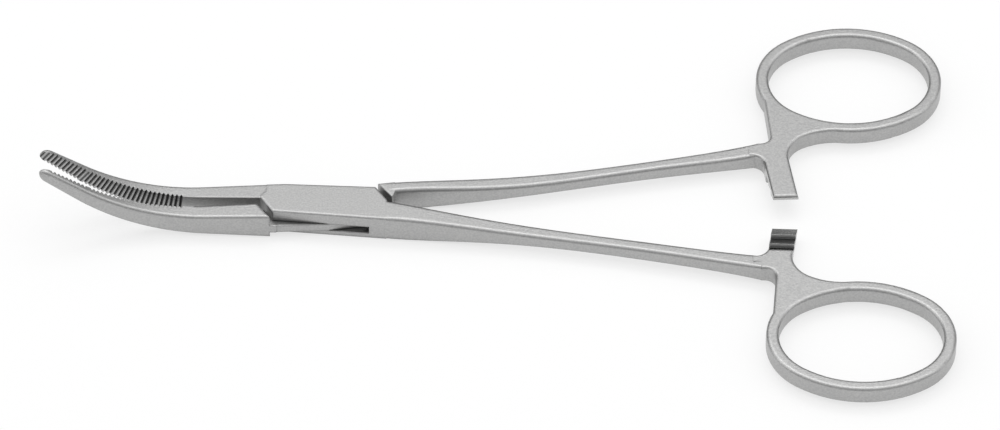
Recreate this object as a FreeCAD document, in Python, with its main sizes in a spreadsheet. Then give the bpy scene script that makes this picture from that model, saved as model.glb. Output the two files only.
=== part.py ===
# Curved haemostatic forceps with a box lock: two steel halves and the pin they turn on.
#
# Each half is modelled in its own frame: X runs from the jaw tips (-X) to the finger rings (+X),
# the pivot axis is Z through the origin, and Z = 0 is the middle of the thickness.
# "Outward" is +1 or -1 along Y, towards the side on which that half's jaw lies.
# In the photographed rest pose each half is turned by rest_angle away from the closed position.
import FreeCAD, Part

import os
import re

import Sketcher

os.makedirs("parts", exist_ok=True)
doc = FreeCAD.newDocument("HemostatForceps")

# Driving dimensions, in millimetres and degrees.
SIZES = {
    # Pose: how far each half is turned from the closed position.
    "rest_angle": "2.1",
    # Box lock.
    "box_thickness": "4.5",
    "box_half_width": "3.35",
    "box_swell": "0.08",
    "cheek_tip_x": "10.2",
    "cheek_corner_x": "8.3",
    "cheek_corner_y": "2.6",
    "cheek_rear_tip_x": "9.3",
    "cheek_rear_tip_y": "0.6",
    "cheek_rear_corner_x": "7.35",
    "box_edge_radius": "0.3",
    "mortise_height": "1.45",
    "mortise_centre": "-0.5",
    "mortise_end_x": "6.6",
    "mortise_gap": "0.35",
    "tongue_play": "0.05",
    "tongue_half_width": "3.15",
    "tongue_waist_drop": "0.7",
    "front_shoulder_gap": "0.85",
    "rear_shoulder_gap": "0.55",
    "pin_radius": "1.5",
    "pin_play": "0.04",
    # Jaws.
    "face_offset": "0.25",
    "jaw_root_x": "7.9",
    "jaw_root_width": "3.05",
    "jaw_root_height": "4.5",
    "jaw_end_width": "0.9",
    "jaw_end_height": "2.0",
    "jaw_root_radius": "0.35",
    "jaw_end_radius": "0.5",
    "bend_start": "19",
    "bend_radius": "32",
    "bend_angle": "36",
    "tip_run": "6.1",
    "tip_cap": "1.4",
    # Serrations across the jaw faces.
    "groove_start_angle": "6.5",
    "groove_pitch": "0.72",
    "groove_width": "0.46",
    "groove_depth": "0.36",
    # Shanks: distance of the outer edge from the X axis, then widths and heights along the way.
    "shank_root_x": "9",
    "shank_root_edge": "3.65",
    "shank_slope": "0.052",
    "shank_bow_radius": "394",
    "heel_x": "15",
    "neck_x": "24",
    "waist_x": "42",
    "flare_x": "58",
    "shank_end_x": "67",
    "female_root_width": "4.15",
    "male_root_width": "2.15",
    "female_heel_width": "3.35",
    "male_heel_width": "2.05",
    "female_neck_width": "2.65",
    "male_neck_width": "2.35",
    "waist_width": "2.1",
    "flare_width": "2.3",
    "shank_end_width": "2.7",
    "heel_height": "4.3",
    "neck_height": "3.15",
    "waist_height": "2.3",
    "flare_height": "2.5",
    "shank_radius": "0.5",
    "notch_x": "10.05",
    "notch_y": "0.5",
    # Finger rings.
    "ring_x": "82.2",
    "ring_y": "24.4",
    "ring_tilt": "1.25",
    "ring_half_length": "13.5",
    "ring_half_width": "10.45",
    "ring_nose_radius": "9.1",
    "ring_wire_width": "1.95",
    "ring_thickness": "3.1",
    "ring_edge_radius": "0.5",
    # Ratchet bars.
    "bar_x": "70.6",
    "bar_lean": "0.115",
    "bar_width": "3.9",
    "female_bar_end": "-1.03",
    "male_bar_end": "0.81",
    "web_edge_radius": "0.4",
    "bar_fillet": "2",
    "ring_fillet": "4.7",
    "ring_sweep": "10.8",
    "sweep_start_x": "8",
    "sweep_rise": "0.825",
    "outer_fillet": "1.6",
    "teeth": "3",
    "tooth_pitch": "2",
    "tooth_height": "0.8",
    "tooth_play": "0.1",
    "tooth_level": "0.35",
}

# How far cutting tools overshoot the metal that they remove.
OVERSHOOT = "1"

sheet = doc.addObject("Spreadsheet::Sheet", "Sizes")
for row, (alias, value) in enumerate(SIZES.items(), start=1):
    sheet.set(f"A{row}", alias)
    sheet.set(f"B{row}", value)
    sheet.setAlias(f"B{row}", alias)
doc.recompute()


def bound(text):
    """An expression over the sheet, from words that are the sheet's aliases."""
    return re.sub(r"[a-z][a-z_]+", lambda word: "Sizes." * (word[0] in SIZES) + word[0], text)


def number(text):
    """The present value of such an expression."""
    return float(sheet.evalExpression(bound(text)))


def flipped(text, sign):
    """The expression text, mirrored when sign is negative."""
    return text if sign > 0 else f"-({text})"


def plane(body, role):
    return next(item for item in body.Origin.OriginFeatures if item.Role == role)


def new_sketch(body, name, role, placement=None):
    """A sketch on one of the body's origin planes, moved by a placement expression if given."""
    sketch = body.newObject("Sketcher::SketchObject", name)
    sketch.AttachmentSupport = [(plane(body, role), "")]
    sketch.MapMode = "FlatFace"
    if placement:
        sketch.setExpression("AttachmentOffset", bound(placement))
    return sketch


def arc_through(start, end, radius, side):
    """The short arc from start to end whose centre lies left (side 1) or right (-1) of the chord."""
    chord = end - start
    reach = max(radius * radius - chord.Length ** 2 / 4, 0) ** 0.5
    left = FreeCAD.Vector(-chord.y, chord.x, 0).normalize()
    centre = start + chord / 2 + left * (side * reach)
    middle = centre - left * (side * radius)
    return Part.Arc(start, middle, end)


def draw_outline(sketch, points):
    """Close an outline through points (x, y) or (x, y, radius, side).

    A point with a radius starts an arc to the next point. Each corner and each radius is bound
    to the sheet by a constraint of its own.
    """
    places = [FreeCAD.Vector(number(point[0]), number(point[1]), 0) for point in points]
    for index, point in enumerate(points):
        start, end = places[index], places[(index + 1) % len(places)]
        if len(point) == 2:
            sketch.addGeometry(Part.LineSegment(start, end))
        else:
            sketch.addGeometry(arc_through(start, end, number(point[2]), point[3]))
    for index, point in enumerate(points):
        is_arc = len(point) > 2
        # An arc is stored anticlockwise, so one whose centre lies right of its chord starts at its end.
        start_end = 2 if is_arc and point[3] < 0 else 1
        previous = points[index - 1]
        last_end = 1 if len(previous) > 2 and previous[3] < 0 else 2
        before = (index - 1) % len(points)
        sketch.addConstraint(Sketcher.Constraint("Coincident", before, last_end, index, start_end))
        for axis, text in (("DistanceX", point[0]), ("DistanceY", point[1])):
            bind(sketch, Sketcher.Constraint(axis, -1, 1, index, start_end, number(text)), text)
        if is_arc:
            bind(sketch, Sketcher.Constraint("Radius", index, number(point[2])), point[2])


def bind(sketch, constraint, text):
    """Add a constraint and bind its value to an expression."""
    index = sketch.addConstraint(constraint)
    sketch.renameConstraint(index, f"size{index}")
    sketch.setExpression(f"Constraints.size{index}", bound(text))


def extrude(body, kind, name, sketch, low, high):
    """A pad or pocket of a level sketch between two heights, given as expressions."""
    sketch.setExpression("AttachmentOffset", bound(f"placement(vector(0; 0; {low}); rotation(vector(0; 0; 1); 0))"))
    feature = body.newObject(kind, name)
    feature.Profile = sketch
    feature.Refine = True
    feature.SideType = "One side"
    feature.Type = "Length"
    feature.setExpression("Length", bound(f"({high}) - ({low})"))
    # A pocket cuts against its sketch's normal unless it is reversed.
    feature.Reversed = kind == "PartDesign::Pocket"
    return feature


def through_cut(body, name, sketch, depth):
    """A pocket that runs to both sides of its sketch, depth long in all."""
    pocket = body.newObject("PartDesign::Pocket", name)
    pocket.Profile = sketch
    pocket.Type = "Length"
    pocket.SideType = "Symmetric"
    pocket.setExpression("Length", bound(depth))
    return pocket


def round_edges(body, name, feature, radius, chosen):
    """Fillet those edges of a feature that the test function chosen accepts."""
    doc.recompute()
    names = [f"Edge{i}" for i, edge in enumerate(feature.Shape.Edges, start=1) if chosen(edge)]
    fillet = body.newObject("PartDesign::Fillet", name)
    fillet.Base = (feature, names)
    fillet.setExpression("Radius", bound(radius))
    return fillet


def level_edge_test(points, skipped):
    """Accept level edges, apart from those over the outline's stretches numbered in skipped."""
    def chosen(edge):
        box = edge.BoundBox
        if box.ZLength > 1e-6:
            return False
        for index in skipped:
            ends = [points[index], points[(index + 1) % len(points)]]
            middle = [sum(number(end[axis]) for end in ends) / 2 for axis in (0, 1)]
            if abs(box.Center.x - middle[0]) < 0.01 and abs(box.Center.y - middle[1]) < 0.01:
                return False
        return True
    return chosen


def loft(body, name, sections):
    feature = body.newObject("PartDesign::AdditiveLoft", name)
    feature.Profile = sections[0]
    feature.Sections = sections[1:]
    return feature


def jaw_station(run):
    """Place of a jaw section: distances and turn at a fraction of the bend, then along the tip."""
    bend, tip = run
    turn = f"bend_angle * {bend}"
    along = f"bend_start + bend_radius * sin({turn} * 1deg) + tip_run * {tip} * cos(bend_angle * 1deg)"
    rise = f"bend_radius * (1 - cos({turn} * 1deg)) + tip_run * {tip} * sin(bend_angle * 1deg)"
    length = f"bend_start + bend_radius * {turn} * pi / 180 + tip_run * {tip}"
    return along, rise, turn, length


def jaw_section(body, name, outward, along, rise, turn, length, scale="1"):
    """One D-shaped section of a jaw: flat towards the other jaw, rounded at the back."""
    total = "(bend_start + bend_radius * bend_angle * pi / 180 + tip_run - jaw_root_x)"
    part = f"(({length}) - jaw_root_x) / {total}"
    width = f"{scale} * (jaw_root_width + (jaw_end_width - jaw_root_width) * {part})"
    half = f"{scale} * (jaw_root_height + (jaw_end_height - jaw_root_height) * {part}) / 2"
    radius = f"{scale} * (jaw_root_radius + (jaw_end_radius - jaw_root_radius) * {part})"
    place = f"placement(vector(0; {rise}; -({along})); rotation(vector(1; 0; 0); {turn}))"
    sketch = new_sketch(body, name, "YZ_Plane", place)
    near = flipped("face_offset", outward)
    shoulder = flipped(f"face_offset + {width} - {radius}", outward)
    back = flipped(f"face_offset + {width}", outward)
    draw_outline(sketch, [
        (near, f"-({half})"),
        (shoulder, f"-({half})", radius, outward),
        (back, f"{radius} - {half}"),
        (back, f"{half} - {radius}", radius, outward),
        (shoulder, half),
        (near, half),
    ])
    return sketch


def add_jaw(body, outward):
    """The curved jaw, its rounded tip and the serrations across its face."""
    root = jaw_section(body, "jaw_root", outward, "jaw_root_x", "0", "0", "jaw_root_x")
    bend = [
        jaw_section(body, f"jaw_bend_{index}", outward, *jaw_station((share, 0)))
        for index, share in enumerate((0, 0.25, 0.5, 0.75, 1))
    ]
    tip = jaw_section(body, "jaw_tip_start", outward, *jaw_station((1, 1)))
    loft(body, "jaw_base", [root, bend[0]])
    loft(body, "jaw_bend", bend)
    loft(body, "jaw_tip", [bend[-1], tip])
    # The tip closes along an ellipse: sections at these fractions of the cap shrink to these shares.
    cap = [tip]
    for index, fraction in enumerate((0.45, 0.8, 0.97)):
        share = (1 - fraction ** 2) ** 0.5
        along, rise, turn, length = jaw_station((1, f"(1 + tip_cap * {fraction} / tip_run)"))
        cap.append(jaw_section(body, f"tip_cap_{index}", outward, along, rise, turn, length, f"{share:.3f}"))
    loft(body, "jaw_tip_cap", cap)
    add_serrations(body, outward)


def groove_sketch(body, name, outward, placement):
    """A V across the jaw face, seen along the groove."""
    sketch = new_sketch(body, name, "XY_Plane", placement)
    mouth = flipped(f"face_offset - groove_depth * {OVERSHOOT}", outward)
    draw_outline(sketch, [
        ("-groove_width", mouth),
        ("groove_width", mouth),
        ("0", flipped("face_offset + groove_depth", outward)),
    ])
    return sketch


def add_serrations(body, outward):
    """Grooves square to the jaw's curved middle line: a fan round the bend, then a straight row."""
    reach = "jaw_root_height * 1.5"
    along = "bend_start + bend_radius * sin(groove_start_angle * 1deg)"
    rise = "bend_radius * (1 - cos(groove_start_angle * 1deg))"
    bend_place = f"placement(vector(-({along}); 0; {rise}); rotation(vector(0; 1; 0); groove_start_angle))"
    first = through_cut(body, "bend_groove", groove_sketch(body, "bend_groove_form", outward, bend_place), reach)
    axis_place = "placement(vector(-bend_start; 0; bend_radius); rotation(vector(0; 1; 0); 0))"
    axis = new_sketch(body, "bend_axis", "XY_Plane", axis_place)
    axis.addGeometry(Part.LineSegment(FreeCAD.Vector(0, 0, 0), FreeCAD.Vector(0, 1, 0)), True)
    fan = body.newObject("PartDesign::PolarPattern", "bend_grooves")
    fan.Originals = [first]
    fan.Axis = (axis, ["V_Axis"])
    fan.Mode = "Spacing"
    fan.setExpression("Offset", bound("groove_pitch / bend_radius * 180 / pi"))
    fan.setExpression("Occurrences", bound("floor(bend_radius * (bend_angle - groove_start_angle) * pi / 180 / groove_pitch)"))
    body.Tip = fan
    along, rise, turn, length = jaw_station((1, 0))
    tip_place = f"placement(vector(-({along}); 0; {rise}); rotation(vector(0; 1; 0); {turn}))"
    start = groove_sketch(body, "tip_groove_form", outward, tip_place)
    second = through_cut(body, "tip_groove", start, reach)
    row = body.newObject("PartDesign::LinearPattern", "tip_grooves")
    row.Originals = [second]
    row.Direction = (start, ["H_Axis"])
    row.Reversed = True
    row.Mode = "Spacing"
    row.setExpression("Offset", bound("groove_pitch"))
    row.setExpression("Occurrences", bound("floor((tip_run + tip_cap * 0.6) / groove_pitch)"))
    body.Tip = row


def shank_edge(x):
    """Distance of the shank's outer edge from the X axis, at a place along X."""
    return f"(shank_root_edge + shank_slope * ({x} - shank_root_x) + ({x} - shank_root_x)^2 / (2 * shank_bow_radius))"


def shank_section(body, name, inward, x, width, height):
    """A rounded oblong across the shank. Inward is the side of Y on which the shank lies."""
    place = f"placement(vector(0; 0; {x}); rotation(vector(0; 0; 1); 0))"
    sketch = new_sketch(body, name, "YZ_Plane", place)
    outer, inner = shank_edge(x), f"{shank_edge(x)} - {width}"
    half = f"{height} / 2"
    r = "shank_radius"
    draw_outline(sketch, [
        (flipped(f"{inner} + {r}", inward), f"-{half}"),
        (flipped(f"{outer} - {r}", inward), f"-{half}", r, inward),
        (flipped(outer, inward), f"{r} - {half}"),
        (flipped(outer, inward), f"{half} - {r}", r, inward),
        (flipped(f"{outer} - {r}", inward), half),
        (flipped(f"{inner} + {r}", inward), half, r, inward),
        (flipped(inner, inward), f"{half} - {r}"),
        (flipped(inner, inward), f"{r} - {half}", r, inward),
    ])
    return sketch


def add_shank(body, kind, inward):
    """The bowed shank from the box lock to the ring, thick at the lock and slim at the waist."""
    stations = [
        ("root", "shank_root_x", f"{kind}_root_width", "box_thickness"),
        ("heel", "heel_x", f"{kind}_heel_width", "heel_height"),
        ("neck", "neck_x", f"{kind}_neck_width", "neck_height"),
        ("waist", "waist_x", "waist_width", "waist_height"),
        ("flare", "flare_x", "flare_width", "flare_height"),
        ("end", "shank_end_x", "shank_end_width", "ring_thickness"),
    ]
    loft(body, "shank", [shank_section(body, f"shank_{name}", inward, *rest) for name, *rest in stations])


def bar_edge(y, side):
    """X of the ratchet bar's edge on one side (-1 or 1) at a height y in the mirrored frame."""
    return f"(bar_x + bar_lean * ({y}) + {side} * bar_width / 2)"


def add_web(body, kind, inward):
    """The flat web that joins shank, ring and ratchet bar, and the bar itself."""
    end = f"{kind}_bar_end"
    outer_length = "(ring_half_length + ring_wire_width / 2)"
    outer_width = "(ring_half_width + ring_wire_width / 2)"
    inner_edge = f"(shank_end_width - {shank_edge('shank_end_x')})"
    left_foot = f"({inner_edge} + bar_fillet)"
    sweep_y = f"(-ring_y + {outer_width} + sweep_rise)"
    right_foot = f"({sweep_y} + 0.92 * ring_fillet)"
    corner_x = f"(ring_x - 0.93 * {outer_length})"
    corner_y = f"(-{shank_edge('shank_end_x')} - outer_fillet)"
    arc_side = -inward
    # Corners that stay hidden lie inside the ring's band or the shank, at shares of their sizes.
    points = [
        (f"{bar_edge(left_foot, -1)} - 1.15 * bar_fillet", f"{inner_edge}", "bar_fillet", arc_side),
        (bar_edge(left_foot, -1), left_foot),
        (bar_edge(end, -1), end),
        (bar_edge(end, 1), end),
        (bar_edge(right_foot, 1), right_foot, "ring_fillet", arc_side),
        ("ring_x - sweep_start_x", sweep_y, "ring_sweep", arc_side),
        (f"ring_x - 0.15 * {outer_length}", f"-ring_y + 0.98 * {outer_width}"),
        (f"ring_x - 0.15 * {outer_length}", "-ring_y + 0.98 * ring_half_width"),
        ("ring_x - 0.76 * ring_half_length", "-ring_y + 0.667 * ring_half_width"),
        ("ring_x - 0.935 * ring_half_length", "-ring_y + 0.37 * ring_half_width"),
        (corner_x, f"-ring_y + 0.37 * {outer_width}"),
        (f"{corner_x} + 0.4", corner_y, "outer_fillet", arc_side),
        (f"{corner_x} + 0.55 - outer_fillet", f"{corner_y} + outer_fillet"),
        (f"{corner_x} + 0.55 - outer_fillet", f"{inner_edge} - shank_end_width / 2"),
        (f"{bar_edge(left_foot, -1)} - 1.15 * bar_fillet", f"{inner_edge} - shank_end_width / 2"),
    ]
    points = [(x, flipped(y, -inward), *rest) for x, y, *rest in points]
    sketch = new_sketch(body, "web_outline", "XY_Plane")
    draw_outline(sketch, points)
    web = extrude(body, "PartDesign::Pad", "web", sketch, "-ring_thickness / 2", "ring_thickness / 2")
    return round_edges(body, "web_edges", web, "web_edge_radius", level_edge_test(points, (6, 7, 8, 9, 12, 13, 14)))


def add_ring(body, inward):
    """The finger ring: an oval of four tangent arcs, swept by a rounded oblong."""
    centre = f"vector(ring_x; {flipped('ring_y', inward)}; 0)"
    turned = f"placement({centre}; rotation(vector(0; 0; 1); {flipped('ring_tilt', -inward)}))"
    nose_x = "(ring_half_length - ring_nose_radius)"
    side_radius = f"(({nose_x}^2 + ring_half_width^2 - ring_nose_radius^2) / (2 * (ring_half_width - ring_nose_radius)))"
    side_drop = f"({side_radius} - ring_half_width)"
    path = new_sketch(body, "ring_path", "XY_Plane", turned)
    nose = number("ring_nose_radius")
    centre_x, centre_y = number(nose_x), number(side_drop)
    joint = FreeCAD.Vector(centre_x, centre_y, 0).normalize() * nose
    corner_x, corner_y = centre_x + joint.x, joint.y
    corners = [
        FreeCAD.Vector(corner_x, corner_y, 0),
        FreeCAD.Vector(-corner_x, corner_y, 0),
        FreeCAD.Vector(-corner_x, -corner_y, 0),
        FreeCAD.Vector(corner_x, -corner_y, 0),
    ]
    middles = [
        FreeCAD.Vector(0, number("ring_half_width"), 0),
        FreeCAD.Vector(-number("ring_half_length"), 0, 0),
        FreeCAD.Vector(0, -number("ring_half_width"), 0),
        FreeCAD.Vector(number("ring_half_length"), 0, 0),
    ]
    for index, middle in enumerate(middles):
        path.addGeometry(Part.Arc(corners[index], middle, corners[(index + 1) % 4]))
    for index in range(4):
        path.addConstraint(Sketcher.Constraint("Tangent", index, 2, (index + 1) % 4, 1))
    path.addConstraint(Sketcher.Constraint("Equal", 1, 3))
    path.addConstraint(Sketcher.Constraint("Equal", 0, 2))
    for index, axis, text in ((0, -2, side_radius), (1, -1, "ring_nose_radius")):
        path.addConstraint(Sketcher.Constraint("PointOnObject", index, 3, axis))
        bind(path, Sketcher.Constraint("Radius", index, number(text)), text)
    path.addConstraint(Sketcher.Constraint("PointOnObject", 3, 3, -1))
    bind(path, Sketcher.Constraint("DistanceX", -1, 1, 3, 3, centre_x), nose_x)

    upright = (
        f"{turned} * placement(vector({nose_x}; 0; 0); rotation(vector(0; 0; 1); atan({side_drop} / {nose_x})))"
        " * placement(vector(0; 0; 0); rotation(vector(1; 0; 0); 90))"
    )
    wire = new_sketch(body, "ring_section", "XY_Plane", upright)
    low, high = "ring_nose_radius - ring_wire_width / 2", "ring_nose_radius + ring_wire_width / 2"
    half, r = "ring_thickness / 2", "ring_edge_radius"
    draw_outline(wire, [
        (f"{low} + {r}", f"-{half}"),
        (f"{high} - {r}", f"-{half}", r, 1),
        (high, f"{r} - {half}"),
        (high, f"{half} - {r}", r, 1),
        (f"{high} - {r}", half),
        (f"{low} + {r}", half, r, 1),
        (low, f"{half} - {r}"),
        (low, f"{r} - {half}", r, 1),
    ])
    ring = body.newObject("PartDesign::AdditivePipe", "finger_ring")
    ring.Profile = wire
    ring.Spine = (path, [])
    ring.Mode = "Standard"
    ring.Transition = "Transformed"


def add_teeth(body, kind, inward):
    """The ratchet teeth: a row of ramps that each end in a steep face towards their own ring."""
    # The female bar carries its teeth on top and the male bar underneath.
    up = 1 if kind == "female" else -1
    end = f"{kind}_bar_end"
    peak = f"{up} * (tooth_height - tooth_play) / 2 + tooth_level"
    root = f"{peak} - {up} * tooth_height"
    outside = f"{up} * ring_thickness"
    across = f"placement(vector(0; 0; {bar_edge(end, 0)}); rotation(vector(0; 0; 1); 0))"
    depth = "bar_width * 1.5"
    floor_sketch = new_sketch(body, "teeth_floor_form", "YZ_Plane", across)
    draw_outline(floor_sketch, [
        (flipped(f"{end} + {OVERSHOOT}", -inward), peak),
        (flipped(f"{end} + {OVERSHOOT}", -inward), outside),
        (flipped(f"{end} - teeth * tooth_pitch", -inward), outside),
        (flipped(f"{end} - teeth * tooth_pitch", -inward), peak),
    ])
    through_cut(body, "teeth_floor", floor_sketch, depth)
    ramp_sketch = new_sketch(body, "ramp_form", "YZ_Plane", across)
    draw_outline(ramp_sketch, [
        (flipped(end, -inward), root),
        (flipped(end, -inward), outside),
        (flipped(f"{end} - tooth_pitch", -inward), outside),
        (flipped(f"{end} - tooth_pitch", -inward), peak),
    ])
    ramp = through_cut(body, "ramp", ramp_sketch, depth)
    row = body.newObject("PartDesign::LinearPattern", "ramps")
    row.Originals = [ramp]
    row.Direction = (ramp_sketch, ["H_Axis"])
    row.Reversed = inward < 0
    row.Mode = "Spacing"
    row.setExpression("Offset", bound("tooth_pitch"))
    row.setExpression("Occurrences", bound("teeth"))
    body.Tip = row


def draw_circle(sketch, radius):
    sketch.addGeometry(Part.Circle(FreeCAD.Vector(0, 0, 0), FreeCAD.Vector(0, 0, 1), number(radius)))
    sketch.addConstraint(Sketcher.Constraint("Coincident", 0, 3, -1, 1))
    bind(sketch, Sketcher.Constraint("Radius", 0, number(radius)), radius)


def add_bore(body, radius):
    """The hole for the pin, right through the half."""
    sketch = new_sketch(body, "pin_hole_form", "XY_Plane")
    draw_circle(sketch, radius)
    return through_cut(body, "pin_hole", sketch, f"box_thickness + 2 * {OVERSHOOT}")


def new_half(label, turn):
    """An empty body, lifted so that the box lock stands on Z = 0 and turned to the rest pose."""
    body = doc.addObject("PartDesign::Body", label)
    body.Label = label
    rest = f"placement(vector(0; 0; box_thickness / 2); rotation(vector(0; 0; 1); {turn} * rest_angle))"
    body.setExpression("Placement", bound(rest))
    return body


def shoulder_line(corner, tip, gap):
    """Two far points on a line beside a cheek's slanting edge, set off from it by a gap."""
    dx, dy = f"({tip[0]} - ({corner[0]}))", f"({tip[1]} - ({corner[1]}))"
    length = f"sqrt({dx}^2 + {dy}^2)"
    return [
        (
            f"{corner[0]} + {dx} * {share} - {gap} * {dy} / {length}",
            f"{corner[1]} + {dy} * {share} + {gap} * {dx} / {length}",
        )
        for share in (-1.2, 1.5)
    ]


CHEEK_FRONT_TIP = ("-cheek_tip_x", "face_offset")
CHEEK_FRONT_CORNER = ("-cheek_corner_x", "-cheek_corner_y")
CHEEK_REAR_TIP = ("cheek_rear_tip_x", "cheek_rear_tip_y")
CHEEK_REAR_CORNER = ("cheek_rear_corner_x", "box_half_width")
MORTISE_FLOOR = "mortise_centre - mortise_height / 2"
MORTISE_ROOF = "mortise_centre + mortise_height / 2"
TONGUE_FLOOR = f"{MORTISE_FLOOR} + tongue_play"
TONGUE_ROOF = f"{MORTISE_ROOF} - tongue_play"


def box_half():
    """The female half: its box lock has two cheeks with the mortise between them."""
    body = new_half("box_half", "-1")
    add_web(body, "female", -1)
    sketch = new_sketch(body, "box_outline", "XY_Plane")
    front = "(jaw_root_x + 1.5)"
    points = [
        CHEEK_FRONT_TIP,
        CHEEK_FRONT_CORNER,
        ("shank_root_x + 0.3", "-(shank_root_edge)"),
        ("shank_root_x + 0.3", "female_root_width - shank_root_edge - 0.05"),
        CHEEK_REAR_TIP,
        CHEEK_REAR_CORNER,
        ("-mortise_end_x", "box_half_width + box_swell"),
        (f"-{front}", "face_offset + jaw_root_width - 0.1"),
        (f"-{front}", "face_offset + jaw_root_width / 2"),
        ("-cheek_tip_x", "face_offset + 0.4"),
    ]
    draw_outline(sketch, points)
    box = extrude(body, "PartDesign::Pad", "box", sketch, "-box_thickness / 2", "box_thickness / 2")
    test = level_edge_test(points, (2, 3, 7, 8, 9))
    round_edges(body, "box_edges", box, "box_edge_radius", lambda edge: test(edge) and edge.BoundBox.XMin < 20
                and abs(abs(edge.BoundBox.ZMin) - number("box_thickness / 2")) < 1e-6)
    add_ring(body, -1)
    add_shank(body, "female", -1)
    add_jaw(body, 1)
    add_teeth(body, "female", -1)
    mortise = new_sketch(body, "mortise_outline", "XY_Plane")
    side = f"box_half_width + {OVERSHOOT}"
    wall = "(face_offset + tongue_half_width - tongue_waist_drop)"
    draw_outline(mortise, [
        ("-mortise_end_x", side),
        ("-mortise_end_x", wall),
        (f"-(mortise_end_x + {wall} - face_offset)", "face_offset"),
        (f"-(cheek_tip_x + {OVERSHOOT})", "face_offset"),
        (f"-(cheek_tip_x + {OVERSHOOT})", f"-({side})"),
        ("mortise_end_x", f"-({side})"),
        ("mortise_end_x", f"-{wall}"),
        (f"mortise_end_x + {wall} - face_offset", "-face_offset"),
        (f"cheek_tip_x + {OVERSHOOT}", "-face_offset"),
        (f"cheek_tip_x + {OVERSHOOT}", side),
    ])
    extrude(body, "PartDesign::Pocket", "mortise", mortise, MORTISE_FLOOR, MORTISE_ROOF)
    add_bore(body, "pin_radius")
    return body


def tongue_half():
    """The male half: a thin tongue between shoulders runs through the mortise."""
    body = new_half("tongue_half", "1")
    add_web(body, "male", 1)
    block = new_sketch(body, "shank_root_outline", "XY_Plane")
    block_end = "(notch_x + 0.5)"
    points = [
        ("cheek_rear_corner_x - 0.3", "box_half_width"),
        (block_end, shank_edge(block_end)),
        (block_end, f"{shank_edge(block_end)} - male_root_width"),
        ("notch_x", "notch_y"),
        ("cheek_rear_tip_x - 0.5", "face_offset"),
    ]
    draw_outline(block, points)
    root = extrude(body, "PartDesign::Pad", "shank_root_block", block, "-box_thickness / 2", "box_thickness / 2")
    test = level_edge_test(points, (1, 2, 3, 4))
    round_edges(body, "shank_root_edges", root, "box_edge_radius", lambda edge: edge.BoundBox.XMax < 20 and test(edge))
    add_ring(body, 1)
    add_shank(body, "male", 1)
    add_jaw(body, -1)
    add_teeth(body, "male", 1)
    front = shoulder_line(CHEEK_FRONT_CORNER, CHEEK_FRONT_TIP, "front_shoulder_gap")
    rear = shoulder_line(CHEEK_REAR_CORNER, CHEEK_REAR_TIP, "rear_shoulder_gap")
    reach = f"box_thickness / 2 + {OVERSHOOT}"
    for name, low, high in (
        ("upper_cheek_space", TONGUE_ROOF, reach),
        ("lower_cheek_space", f"-({reach})", TONGUE_FLOOR),
    ):
        sketch = new_sketch(body, f"{name}_outline", "XY_Plane")
        draw_outline(sketch, front + rear)
        extrude(body, "PartDesign::Pocket", name, sketch, low, high)
    tongue = new_sketch(body, "tongue_outline", "XY_Plane")
    waist = "(tongue_half_width - tongue_waist_drop)"
    waist_x = "(mortise_end_x - mortise_gap)"
    draw_outline(tongue, [
        (f"-({waist_x} + {waist} + face_offset)", "-face_offset"),
        (f"-{waist_x}", waist),
        ("0", "tongue_half_width"),
        ("cheek_rear_corner_x + 0.5", "box_half_width"),
        ("notch_x", "box_half_width"),
        ("notch_x", f"{shank_edge('notch_x')} - male_root_width + 0.2"),
        (f"{waist_x} + {waist} + face_offset", "face_offset"),
        (waist_x, f"-{waist}"),
        ("0", "-tongue_half_width"),
        ("-cheek_corner_x", "-(face_offset + jaw_root_width - 0.1)"),
        ("-cheek_tip_x", "-(face_offset + jaw_root_width / 2)"),
        ("-cheek_tip_x", "-face_offset"),
    ])
    extrude(body, "PartDesign::Pad", "tongue", tongue, TONGUE_FLOOR, TONGUE_ROOF)
    add_bore(body, "pin_radius + pin_play")
    return body


def pivot_pin():
    """The pin, pressed into the cheeks and ground flush with them."""
    body = new_half("pivot_pin", "-1")
    sketch = new_sketch(body, "pin_form", "XY_Plane")
    draw_circle(sketch, "pin_radius")
    extrude(body, "PartDesign::Pad", "pin", sketch, "-box_thickness / 2", "box_thickness / 2")
    return body


def write_parts(bodies):
    """Check every object, then write each body to a file that bears its label."""
    doc.recompute()
    for item in doc.Objects:
        assert not {"Invalid", "Error"} & set(item.State), f"{item.Name} could not be built: {item.State}"
    for body in bodies:
        shape = body.Shape
        assert not shape.isNull() and shape.isValid() and len(shape.Solids) == 1, f"{body.Label} is not one sound solid"
        shape.exportStep(f"parts/{body.Label}.step")


write_parts([box_half(), tongue_half(), pivot_pin()])
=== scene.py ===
from math import cos, pi, radians, sin

import bpy
from mathutils import Matrix, Vector


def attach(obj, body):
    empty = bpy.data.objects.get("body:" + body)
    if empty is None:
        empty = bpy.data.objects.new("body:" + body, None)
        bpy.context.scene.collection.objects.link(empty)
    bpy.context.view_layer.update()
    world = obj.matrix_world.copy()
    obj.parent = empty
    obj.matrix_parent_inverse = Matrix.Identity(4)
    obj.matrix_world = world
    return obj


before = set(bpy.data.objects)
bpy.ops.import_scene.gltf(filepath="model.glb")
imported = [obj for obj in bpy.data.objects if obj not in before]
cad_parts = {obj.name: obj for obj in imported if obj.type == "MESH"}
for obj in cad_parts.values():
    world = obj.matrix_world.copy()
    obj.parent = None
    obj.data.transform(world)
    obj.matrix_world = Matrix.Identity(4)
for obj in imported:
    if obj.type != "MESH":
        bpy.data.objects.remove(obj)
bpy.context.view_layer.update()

# Camera: a long lens from in front and above, as in the photograph.
CAMERA_PLACE = Vector((0.008937, -0.917639, 0.951779))
CAMERA_RIGHT = Vector((0.9999075, -0.0076088, 0.0112749))
CAMERA_UP = Vector((-0.0023574, 0.7194243, 0.6945669))
LENS_MM = 308.8
SENSOR_MM = 36

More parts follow.
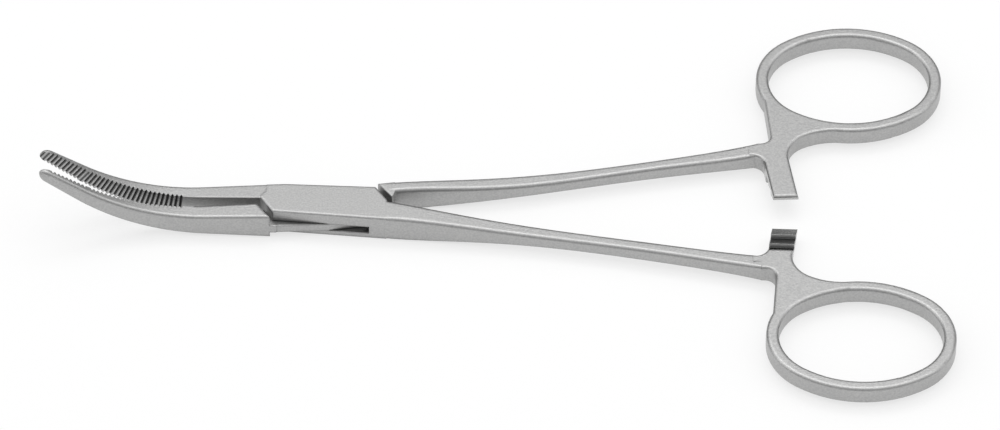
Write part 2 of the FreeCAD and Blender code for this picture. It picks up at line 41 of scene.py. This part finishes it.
# Steel: its two shades and where the grain goes over from one to the other, in metres.
STEEL_DARK = (0.405, 0.405, 0.405, 1)
STEEL_LIGHT = (0.48, 0.48, 0.475, 1)
GRAIN_SIZE = 0.00028
GRAIN_DETAIL = 3
GRAIN_SPREAD = (0.36, 0.64)
BUMP_STRENGTH = 0.35
BUMP_HEIGHT = GRAIN_SIZE / 4
# Faint clouds vary the roughness.
CLOUD_SIZE = 0.004
CLOUD_DETAIL = 4
ROUGHNESS = (0.3, 0.46)
# Painted shade: the dark colour that crevices and the bottoms of the added serrations are mixed
# towards, and how far and how finely ambient occlusion looks for crevices.
PAINTED_SHADE = (0.05, 0.05, 0.05, 1)
PAINTED_SHADE_REACH = 0.0008
PAINTED_SHADE_SAMPLES = 8
# How softly the light turns round edges, in general and on the fine teeth of the ratchet.
EDGE_SOFTNESS = 0.00045
TOOTH_SOFTNESS = 0.0002
EDGE_SAMPLES = 6

# The halves as the CAD places them. From here to the fillers, sizes are in millimetres
# and degrees, in each half's own frame with the pin at its origin.
REST_ANGLE = 2.1
BOX_THICKNESS = 4.5
SIDES = {"box_half": -1, "tongue_half": 1}
BODIES = {"box_half": "box_body", "tongue_half": "tongue_body"}

# The straight tip of each jaw starts here. The material adds serrations at these distances
# along it, as bumps with painted shade at their bottoms: one that closes the gap before the row,
# and two after its last.
TIP_START = Vector((-37.809, 0, 6.111))
TIP_ANGLE = 36
TIP_GROOVES = (-0.678, 6.48, 7.15)
GROOVE_WIDTH = 0.46
GROOVE_DEPTH = 0.36
FACE_OFFSET = 0.25
FACE_TOLERANCE = 0.02

# Edges stay crisp on the serrations, round the pin and where shank and web meet.
SERRATION_START_X = -20.5
SERRATION_ROOM = 0.42
PIN_ROOM = 2.2
MEET_X = (65.2, 68.4)
MEET_Y = (-11.5, -7.8)
# The ratchet teeth are ground and shine more.
TEETH_START_X = 66
TEETH_REACH_Y = 7.2
TEETH_TOP_Z = 1.45
TEETH_ROUGHNESS = 0.13

# The fillers where shank and web meet: x and distance from the middle line of the outer edge.
BLEND_EDGE = (
    (66.9, 10.915), (67.1, 10.937), (67.4, 10.939), (67.7, 10.939), (67.8, 10.935),
)
BLEND_DEPTH = 1.6
BLEND_HALF_HEIGHT = 1.547
BLEND_RADIUS = 0.42
BLEND_STEPS = 6

# Light: the brightness of the surroundings from straight ahead over the top to straight behind.
SKY = (
    (0.0, 0.3), (0.2, 0.55), (0.35, 0.75), (0.47, 1.2), (0.56, 1.7), (0.63, 1.5),
    (0.7, 0.94), (0.76, 0.8), (0.84, 0.38), (0.9, 0.12), (1.0, 0.03),
)
LAMP_PLACE = Vector((0.025, 0.4, 0.82))
LAMP_TARGET = Vector((0.025, 0, 0))
LAMP_SIZE = (0.6, 0.25)
LAMP_WATTS = 1.0
# The floor's own share of white in what the camera and the steel see of it.
FLOOR_GLOW = 0.68
FLOOR_COLOUR = (0.96, 0.96, 0.96, 1)
FLOOR_ROUGHNESS = 0.9
FLOOR_SIZE = 6


def metres(millimetres):
    return millimetres / 1000


def new_material(name):
    material = bpy.data.materials.new(name)
    material.use_nodes = True
    nodes = material.node_tree.nodes
    return material, nodes, material.node_tree.links, nodes["Principled BSDF"]


def maths(owner, operation, *values):
    """The output of a maths node in a material or world, fed by sockets or plain numbers."""
    node = owner.node_tree.nodes.new("ShaderNodeMath")
    node.operation = operation
    for socket, value in zip(node.inputs, values):
        if isinstance(value, (int, float)):
            socket.default_value = value
        else:
            owner.node_tree.links.new(value, socket)
    return node.outputs[0]


def rest_matrix(side):
    """From a half's own frame in millimetres to the scene at rest, in metres."""
    lift = Matrix.Translation((0, 0, BOX_THICKNESS / 2))
    turn = Matrix.Rotation(radians(side * REST_ANGLE), 4, "Z")
    return Matrix.Scale(0.001, 4) @ lift @ turn


def along(material, place, start, direction):
    """How far a point lies from start in a direction."""
    dot = material.node_tree.nodes.new("ShaderNodeVectorMath")
    dot.operation = "DOT_PRODUCT"
    dot.inputs[1].default_value = direction
    material.node_tree.links.new(place, dot.inputs[0])
    return maths(material, "SUBTRACT", dot.outputs["Value"], start.dot(direction))


def own_places(material, place, node, side):
    """A point's x, y towards the jaw's back, and z in the half's own frame, in metres."""
    to_node = node.matrix_world.inverted() @ rest_matrix(side)
    middle = to_node @ Vector((0, 0, 0))
    turn = to_node.to_3x3()
    ways = [(turn @ Vector(way)).normalized() for way in ((1, 0, 0), (0, -side, 0), (0, 0, 1))]
    return [along(material, place, middle, way) for way in ways]


def machined(material, x, y, z):
    """1 on the ground faces of the ratchet teeth, 0 elsewhere."""
    behind = maths(material, "GREATER_THAN", x, metres(TEETH_START_X))
    within = maths(material, "LESS_THAN", maths(material, "ABSOLUTE", y), metres(TEETH_REACH_Y))
    below = maths(material, "LESS_THAN", z, metres(TEETH_TOP_Z))
    return maths(material, "MULTIPLY", maths(material, "MULTIPLY", behind, within), below)


def softness(material, x, y, toothed):
    """How far the light turns round edges: little on the ratchet, not at all where crisp."""
    in_jaw = maths(material, "LESS_THAN", x, metres(SERRATION_START_X))
    near_face = maths(material, "LESS_THAN", y, metres(FACE_OFFSET + SERRATION_ROOM))
    serrated = maths(material, "MULTIPLY", in_jaw, near_face)
    off = maths(material, "MAXIMUM", maths(material, "ABSOLUTE", x), maths(material, "ABSOLUTE", y))
    at_pin = maths(material, "LESS_THAN", off, metres(PIN_ROOM))
    meeting = 1
    for value, (low, high) in ((x, MEET_X), (y, MEET_Y)):
        away = maths(material, "SUBTRACT", value, metres((low + high) / 2))
        away = maths(material, "ABSOLUTE", away)
        inside = maths(material, "LESS_THAN", away, metres((high - low) / 2))
        meeting = maths(material, "MULTIPLY", meeting, inside)
    crisp = maths(material, "MAXIMUM", maths(material, "MAXIMUM", serrated, at_pin), meeting)
    less = maths(material, "MULTIPLY", toothed, EDGE_SOFTNESS - TOOTH_SOFTNESS)
    radius = maths(material, "SUBTRACT", EDGE_SOFTNESS, less)
    return maths(material, "MULTIPLY", radius, maths(material, "SUBTRACT", 1, crisp))


def added_serrations(material, place, node, side):
    """1 at the bottom of the serrations that the material adds to a jaw's face, 0 elsewhere."""
    to_node = node.matrix_world.inverted() @ rest_matrix(side)
    tilt = radians(TIP_ANGLE)
    start = to_node @ (TIP_START + Vector((0, -side * FACE_OFFSET, 0)))
    run = (to_node.to_3x3() @ Vector((-cos(tilt), 0, sin(tilt)))).normalized()
    out = (to_node.to_3x3() @ Vector((0, -side, 0))).normalized()
    distance = along(material, place, start, run)
    total = 0
    for groove in TIP_GROOVES:
        off = maths(material, "ABSOLUTE", maths(material, "SUBTRACT", distance, metres(groove)))
        share = maths(material, "DIVIDE", off, metres(GROOVE_WIDTH / 2))
        depth = maths(material, "MAXIMUM", maths(material, "SUBTRACT", 1, share), 0)
        total = maths(material, "ADD", total, depth)
    height = along(material, place, start, out)
    on_face = maths(material, "LESS_THAN", height, metres(FACE_TOLERANCE))
    return maths(material, "MULTIPLY", total, on_face)


def satin_steel(name, node=None, side=0):
    """Bead-blasted steel with painted shade in its crevices; a half's node gets its fine work as
    well.
    """
    material, nodes, links, shader = new_material(name)
    shader.inputs["Metallic"].default_value = 1
    place = nodes.new("ShaderNodeTexCoord").outputs["Object"]

    grain = nodes.new("ShaderNodeTexNoise")
    grain.inputs["Scale"].default_value = 1 / GRAIN_SIZE
    grain.inputs["Detail"].default_value = GRAIN_DETAIL
    cloud = nodes.new("ShaderNodeTexNoise")
    cloud.inputs["Scale"].default_value = 1 / CLOUD_SIZE
    cloud.inputs["Detail"].default_value = CLOUD_DETAIL
    for texture in (grain, cloud):
        links.new(place, texture.inputs["Vector"])

    spread = nodes.new("ShaderNodeMapRange")
    spread.inputs["From Min"].default_value, spread.inputs["From Max"].default_value = GRAIN_SPREAD
    links.new(grain.outputs["Fac"], spread.inputs["Value"])
    colour = nodes.new("ShaderNodeMix")
    colour.data_type = "RGBA"
    colour.inputs["A"].default_value = STEEL_DARK
    colour.inputs["B"].default_value = STEEL_LIGHT
    links.new(spread.outputs["Result"], colour.inputs["Factor"])

    # Painted shade: the steel colour darkens towards the dark colour where ambient occlusion finds
    # surfaces close by.
    hollow = nodes.new("ShaderNodeAmbientOcclusion")
    hollow.inputs["Distance"].default_value = PAINTED_SHADE_REACH
    hollow.samples = PAINTED_SHADE_SAMPLES
    painted_shade = nodes.new("ShaderNodeMix")
    painted_shade.data_type = "RGBA"
    painted_shade.inputs["A"].default_value = PAINTED_SHADE
    links.new(hollow.outputs["AO"], painted_shade.inputs["Factor"])
    links.new(colour.outputs["Result"], painted_shade.inputs["B"])
    base = painted_shade.outputs["Result"]

    rough = nodes.new("ShaderNodeMapRange")
    rough.inputs["To Min"].default_value, rough.inputs["To Max"].default_value = ROUGHNESS
    links.new(cloud.outputs["Fac"], rough.inputs["Value"])
    roughness = rough.outputs["Result"]

    soft = nodes.new("ShaderNodeBevel")
    soft.samples = EDGE_SAMPLES
    soft.inputs["Radius"].default_value = 0
    bump = nodes.new("ShaderNodeBump")
    bump.inputs["Strength"].default_value = BUMP_STRENGTH
    bump.inputs["Distance"].default_value = BUMP_HEIGHT
    links.new(grain.outputs["Fac"], bump.inputs["Height"])
    links.new(soft.outputs["Normal"], bump.inputs["Normal"])
    if node:
        x, y, z = own_places(material, place, node, side)
        toothed = machined(material, x, y, z)
        links.new(softness(material, x, y, toothed), soft.inputs["Radius"])
        plain = maths(material, "SUBTRACT", 1, toothed)
        polish = maths(material, "MULTIPLY", toothed, TEETH_ROUGHNESS)
        roughness = maths(material, "ADD", maths(material, "MULTIPLY", roughness, plain), polish)
        groove = added_serrations(material, place, node, side)
        cut = nodes.new("ShaderNodeBump")
        cut.invert = True
        cut.inputs["Distance"].default_value = metres(GROOVE_DEPTH)
        links.new(groove, cut.inputs["Height"])
        links.new(soft.outputs["Normal"], cut.inputs["Normal"])
        links.new(cut.outputs["Normal"], bump.inputs["Normal"])
        # Painted shade at the bottoms of the added serrations.
        shade = nodes.new("ShaderNodeMix")
        shade.data_type = "RGBA"
        shade.inputs["B"].default_value = PAINTED_SHADE
        links.new(groove, shade.inputs["Factor"])
        links.new(base, shade.inputs["A"])
        base = shade.outputs["Result"]
    links.new(base, shader.inputs["Base Color"])
    links.new(roughness, shader.inputs["Roughness"])
    links.new(bump.outputs["Normal"], shader.inputs["Normal"])
    return material


def edge_blend(half, material):
    """The filler that carries a half's rounded outer edge over the slot between shank and web."""
    side = SIDES[half]
    angles = [radians(90 * step / BLEND_STEPS) for step in range(BLEND_STEPS + 1)]
    points, faces = [], []
    for x, reach in BLEND_EDGE:
        ring = [(reach - BLEND_DEPTH, BLEND_HALF_HEIGHT)]
        for angle in angles:
            y = reach - BLEND_RADIUS * (1 - sin(angle))
            ring.append((y, BLEND_HALF_HEIGHT - BLEND_RADIUS * (1 - cos(angle))))
        ring += [(y, -z) for y, z in reversed(ring)]
        points += [(x, side * y, z) for y, z in ring]
    count = len(ring)
    for station in range(len(BLEND_EDGE) - 1):
        near, far = station * count, (station + 1) * count
        for index in range(count):
            after = (index + 1) % count
            faces.append((near + index, near + after, far + after, far + index))
    faces.append(tuple(range(count)))
    faces.append(tuple(range(len(points) - 1, len(points) - 1 - count, -1)))

    name = f"{half}_edge_blend"
    mesh = bpy.data.meshes.new(name)
    mesh.from_pydata(points, [], [face[::side] for face in faces])
    mesh.transform(rest_matrix(side))
    mesh.materials.append(material)
    # Only the rounded corners are smooth: not the ends, the inner side or the upright face.
    inner = {0, count - 1}
    upright = {len(angles), len(angles) + 1}
    for face in mesh.polygons:
        places = {index % count for index in face.vertices}
        face.use_smooth = len(face.vertices) == 4 and not places & inner and places != upright
    item = bpy.data.objects.new(name, mesh)
    bpy.context.scene.collection.objects.link(item)
    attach(item, BODIES[half])


def add_floor():
    """A white floor that keeps a faint shadow of the object."""
    bpy.ops.mesh.primitive_plane_add(size=FLOOR_SIZE)
    floor = bpy.context.object
    floor.name = "floor"
    material, nodes, links, shader = new_material("floor_white")
    shader.inputs["Base Color"].default_value = FLOOR_COLOUR
    shader.inputs["Roughness"].default_value = FLOOR_ROUGHNESS
    # The glow is for rays from the camera and for mirrored or refracted ones alone.
    path = nodes.new("ShaderNodeLightPath").outputs
    seen = maths(material, "MAXIMUM", path["Is Camera Ray"], path["Is Glossy Ray"])
    seen = maths(material, "MAXIMUM", seen, path["Is Transmission Ray"])
    glow = nodes.new("ShaderNodeEmission")
    mix = nodes.new("ShaderNodeMixShader")
    links.new(maths(material, "MULTIPLY", seen, FLOOR_GLOW), mix.inputs["Fac"])
    links.new(shader.outputs[0], mix.inputs[1])
    links.new(glow.outputs[0], mix.inputs[2])
    links.new(mix.outputs[0], nodes["Material Output"].inputs["Surface"])
    floor.data.materials.append(material)


def add_sky():
    """Soft studio surroundings: brightest overhead, dim near the horizon."""
    world = bpy.data.worlds.new("studio")
    bpy.context.scene.world = world
    world.use_nodes = True
    nodes, links = world.node_tree.nodes, world.node_tree.links
    place = nodes.new("ShaderNodeTexCoord")
    split = nodes.new("ShaderNodeSeparateXYZ")
    links.new(place.outputs["Generated"], split.inputs[0])
    # The angle from ahead (-Y) over the top to behind (+Y), as a share of half a turn.
    ahead = maths(world, "MULTIPLY", split.outputs["Y"], -1)
    share = maths(world, "DIVIDE", maths(world, "ARCTAN2", split.outputs["Z"], ahead), pi)
    ramp = nodes.new("ShaderNodeValToRGB")
    stops = ramp.color_ramp.elements
    while len(stops) < len(SKY):
        stops.new(1)
    for stop, (position, level) in zip(stops, SKY):
        stop.position = position
        stop.color = (level, level, level, 1)
    links.new(share, ramp.inputs["Fac"])
    links.new(ramp.outputs["Color"], nodes["Background"].inputs["Color"])


def add_lamp():
    lamp = bpy.data.lights.new("overhead", "AREA")
    lamp.shape = "RECTANGLE"
    lamp.size, lamp.size_y = LAMP_SIZE
    lamp.energy = LAMP_WATTS
    item = bpy.data.objects.new("overhead", lamp)
    item.location = LAMP_PLACE
    item.rotation_euler = (LAMP_TARGET - LAMP_PLACE).to_track_quat("-Z", "Y").to_euler()
    bpy.context.scene.collection.objects.link(item)


def add_camera():
    scene = bpy.context.scene
    camera = bpy.data.cameras.new("camera")
    camera.sensor_fit = "HORIZONTAL"
    camera.sensor_width = SENSOR_MM
    camera.lens = LENS_MM
    item = bpy.data.objects.new("camera", camera)
    axes = Matrix((CAMERA_RIGHT, CAMERA_UP, CAMERA_RIGHT.cross(CAMERA_UP))).transposed()
    item.matrix_world = Matrix.Translation(CAMERA_PLACE) @ axes.to_4x4()
    scene.collection.objects.link(item)
    scene.camera = item
    scene.view_settings.view_transform = "Standard"


for name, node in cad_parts.items():
    half = (node, SIDES[name]) if name in SIDES else ()
    node.data.materials.clear()
    node.data.materials.append(satin_steel(f"{name}_steel", *half))
    if half:
        edge_blend(name, satin_steel(f"{name}_blend_steel"))

add_floor()
add_sky()
add_lamp()
add_camera()
